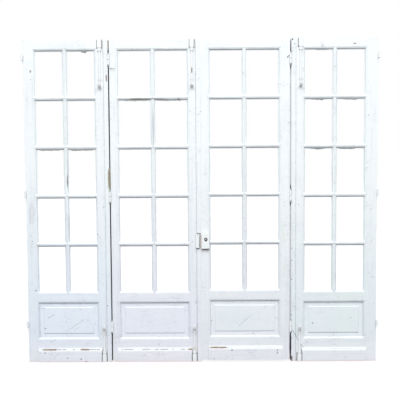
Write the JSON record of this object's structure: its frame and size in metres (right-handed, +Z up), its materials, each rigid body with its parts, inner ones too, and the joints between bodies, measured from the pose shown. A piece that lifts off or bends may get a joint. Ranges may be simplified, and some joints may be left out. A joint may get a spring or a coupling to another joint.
{
  "type": "french doors",
  "caption": "Folding set of glazed timber door leaves with raised panels, lift-off hinges, surface bolts and a rim lock.",
  "frame": {"origin": "foot of the leaves, on the joint where the two inner leaves meet, halfway through the depth", "axes": "+X to the right as seen from the front, +Y from front to back, +Z up"},
  "size_m": [2.4678, 0.0824, 2.25],
  "materials": {
    "painted_wood": "weathered white paint",
    "painted_iron": "weathered white paint",
    "bare_iron": "dark, slightly rusty",
    "glass": "clear, smooth"
  },
  "bodies": {
    "outer_leaves": {"left_fold_hinge_pins": "painted_iron", "left_frame_hinge_sockets": "painted_iron", "left_outer_bolt_guides": "painted_iron", "left_outer_bottom_rail": "painted_wood", "left_outer_cover_and_stop_strips": "painted_wood", "left_outer_fold_stile": "painted_wood", "left_outer_frame_stile": "painted_wood", "left_outer_glass": "glass", "left_outer_glazing_bars": "painted_wood", "left_outer_lock_rail": "painted_wood", "left_outer_panel": "painted_wood", "left_outer_plinth_board": "painted_wood", "left_outer_top_rail": "painted_wood", "right_fold_hinge_pins": "painted_iron", "right_frame_hinge_sockets": "painted_iron", "right_outer_bolt_guides": "painted_iron", "right_outer_bottom_rail": "painted_wood", "right_outer_cover_and_stop_strips": "painted_wood", "right_outer_fold_stile": "painted_wood", "right_outer_frame_stile": "painted_wood", "right_outer_glass": "glass", "right_outer_glazing_bars": "painted_wood", "right_outer_lock_rail": "painted_wood", "right_outer_panel": "painted_wood", "right_outer_plinth_board": "painted_wood", "right_outer_top_rail": "painted_wood"},
    "left_inner_leaf": {"left_fold_hinge_sockets": "painted_iron", "left_inner_bolt_guides": "painted_iron", "left_inner_bottom_rail": "painted_wood", "left_inner_cover_strip": "painted_wood", "left_inner_fold_stile": "painted_wood", "left_inner_glass": "glass", "left_inner_glazing_bars": "painted_wood", "left_inner_lock_rail": "painted_wood", "left_inner_meeting_stile": "painted_wood", "left_inner_panel": "painted_wood", "left_inner_plinth_board": "painted_wood", "left_inner_top_rail": "painted_wood", "lock_keeper": "painted_iron"},
    "left_inner_bottom_bolt": {"left_inner_bottom_bolt": "painted_iron"},
    "left_inner_top_bolt": {"left_inner_top_bolt": "painted_iron"},
    "left_outer_bottom_bolt": {"left_outer_bottom_bolt": "painted_iron"},
    "left_outer_top_bolt": {"left_outer_top_bolt": "painted_iron"},
    "right_inner_leaf": {"lock_back_plate": "bare_iron", "lock_case": "painted_iron", "lock_spring": "bare_iron", "right_fold_hinge_sockets": "painted_iron", "right_inner_bottom_rail": "painted_wood", "right_inner_fold_stile": "painted_wood", "right_inner_glass": "glass", "right_inner_glazing_bars": "painted_wood", "right_inner_lock_rail": "painted_wood", "right_inner_meeting_stile": "painted_wood", "right_inner_panel": "painted_wood", "right_inner_plinth_board": "painted_wood", "right_inner_top_rail": "painted_wood"},
    "lock_bolt": {"lock_bolt": "bare_iron"},
    "lock_follower": {"lock_follower": "bare_iron"},
    "right_outer_bottom_bolt": {"right_outer_bottom_bolt": "painted_iron"},
    "right_outer_top_bolt": {"right_outer_top_bolt": "painted_iron"}
  },
  "joints": [
    {"name": "left_inner_leaf_fold", "type": "hinge", "parent": "outer_leaves", "child": "left_inner_leaf", "pos_m": [-0.6324, -0.0177, 0.25], "axis": [0, 0, -1], "range_deg": [0, 150]},
    {"name": "right_inner_leaf_fold", "type": "hinge", "parent": "outer_leaves", "child": "right_inner_leaf", "pos_m": [0.6224, -0.0177, 0.25], "axis": [0, 0, 1], "range_deg": [0, 150]},
    {"name": "lock_follower_turn", "type": "hinge", "parent": "right_inner_leaf", "child": "lock_follower", "pos_m": [0.0324, -0.0092, 0.867], "axis": [0, 1, 0], "range_deg": [0, 90]},
    {"name": "lock_bolt_throw", "type": "slide", "parent": "right_inner_leaf", "child": "lock_bolt", "axis": [-1, 0, 0], "range_m": [0, 0.024]},
    {"name": "left_outer_top_bolt_throw", "type": "slide", "parent": "outer_leaves", "child": "left_outer_top_bolt", "axis": [0, 0, 1], "range_m": [0, 0.02]},
    {"name": "left_outer_bottom_bolt_throw", "type": "slide", "parent": "outer_leaves", "child": "left_outer_bottom_bolt", "axis": [0, 0, -1], "range_m": [0, 0.02]},
    {"name": "left_inner_top_bolt_throw", "type": "slide", "parent": "left_inner_leaf", "child": "left_inner_top_bolt", "axis": [0, 0, 1], "range_m": [0, 0.02]},
    {"name": "left_inner_bottom_bolt_throw", "type": "slide", "parent": "left_inner_leaf", "child": "left_inner_bottom_bolt", "axis": [0, 0, -1], "range_m": [0, 0.02]},
    {"name": "right_outer_top_bolt_throw", "type": "slide", "parent": "outer_leaves", "child": "right_outer_top_bolt", "axis": [0, 0, 1], "range_m": [0, 0.02]},
    {"name": "right_outer_bottom_bolt_throw", "type": "slide", "parent": "outer_leaves", "child": "right_outer_bottom_bolt", "axis": [0, 0, -1], "range_m": [0, 0.02]}
  ],
  "couplings": [
    {"joint": "lock_follower_turn", "follows": "lock_bolt_throw", "rad_per_m": 65.45}
  ]
}
